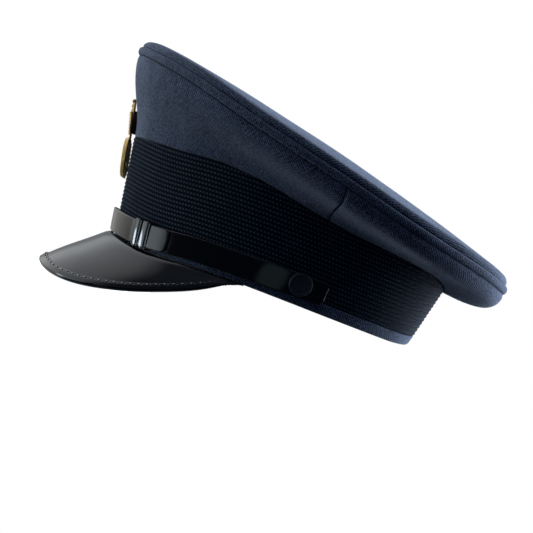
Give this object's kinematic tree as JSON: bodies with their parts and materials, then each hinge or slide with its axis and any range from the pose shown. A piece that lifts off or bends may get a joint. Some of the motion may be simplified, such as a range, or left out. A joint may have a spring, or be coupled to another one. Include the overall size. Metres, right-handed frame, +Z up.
{
  "type": "military peaked cap",
  "caption": "Peaked service cap with a raised oval wool crown, ribbed mohair band, black patent peak, chin strap with sliding keepers, side buttons and a plain gilt badge.",
  "frame": {"origin": "centre of the head opening, in the plane of the band's lower edge", "axes": "+Z up out of the head, -Y forward over the peak, +X the wearer's left"},
  "size_m": [0.2586, 0.3045, 0.1692],
  "materials": {
    "wool": "blue-grey wool twill with a short nap",
    "mohair": "black ribbed braid",
    "patent": "black patent, high gloss",
    "peak_lining": "black grained underside",
    "board": "stiffening board",
    "leather": "brown sweatband leather, satin",
    "ribbon": "black ribbon",
    "lining": "dark satin lining",
    "vinyl": "clear vinyl",
    "felt": "dark maroon felt",
    "button": "matte black",
    "gilt": "gilt, satin",
    "brass": "plain brass",
    "blackened": "black",
    "wire": "steel wire"
  },
  "bodies": {
    "cap": {"crown_top": "wool", "crown_front_left": "wool", "crown_front_right": "wool", "crown_rear_left": "wool", "crown_rear_right": "wool", "crown_welt": "wool", "crown_wire": "wire", "crown_ferrule": "brass", "front_stay": "board", "lining_side": "lining", "lining_tip": "lining", "sweat_shield": "vinyl", "mohair_band": "mohair", "band_cloth": "wool", "band_stiffener": "board", "sweatband": "leather", "sweatband_bow": "ribbon", "peak_top": "patent", "peak_board": "board", "peak_lining": "peak_lining", "peak_binding": "patent", "washer_left": "brass", "washer_right": "brass", "badge_lower": "gilt", "badge_upper": "gilt", "badge_backing": "felt", "badge_bracket": "blackened", "badge_strip": "gilt", "badge_pin": "wire"},
    "chin_strap": {"strap_inner": "patent", "strap_outer": "patent"},
    "keeper_lf": {"keeper_left_front": "patent"},
    "keeper_lr": {"keeper_left_rear": "patent"},
    "keeper_rf": {"keeper_right_front": "patent"},
    "keeper_rr": {"keeper_right_rear": "patent"},
    "button_l": {"button_left": "button", "ring_left": "wire"},
    "button_r": {"button_right": "button", "ring_right": "wire"}
  },
  "joints": [
    {"name": "chin_strap_lift", "type": "hinge", "parent": "cap", "child": "chin_strap", "pos_m": [0, 0.02112, 0.0124], "axis": [-1, 0, 0], "range_deg": [0, 1]},
    {"name": "keeper_left_front_slide", "type": "hinge", "parent": "chin_strap", "child": "keeper_lf", "pos_m": [-0.00941, -0.01995, 0.006], "axis": [0, 0, -1], "range_deg": [0, 2.2]},
    {"name": "keeper_left_rear_slide", "type": "hinge", "parent": "chin_strap", "child": "keeper_lr", "pos_m": [-0.01472, -0.01475, 0.006], "axis": [0, 0, 1], "range_deg": [0, 2.2]},
    {"name": "keeper_right_front_slide", "type": "hinge", "parent": "chin_strap", "child": "keeper_rf", "pos_m": [0.00941, -0.01995, 0.006], "axis": [0, 0, 1], "range_deg": [0, 2.2]},
    {"name": "keeper_right_rear_slide", "type": "hinge", "parent": "chin_strap", "child": "keeper_rr", "pos_m": [0.01472, -0.01475, 0.006], "axis": [0, 0, -1], "range_deg": [0, 2.2]},
    {"name": "button_left_spin", "type": "hinge", "parent": "cap", "child": "button_l", "pos_m": [0.08567, 0.02112, 0.0124], "axis": [0.9765, 0.1569, -0.1475], "continuous": true},
    {"name": "button_right_spin", "type": "hinge", "parent": "cap", "child": "button_r", "pos_m": [-0.08567, 0.02112, 0.0124], "axis": [-0.9765, 0.1569, -0.1475], "continuous": true}
  ]
}
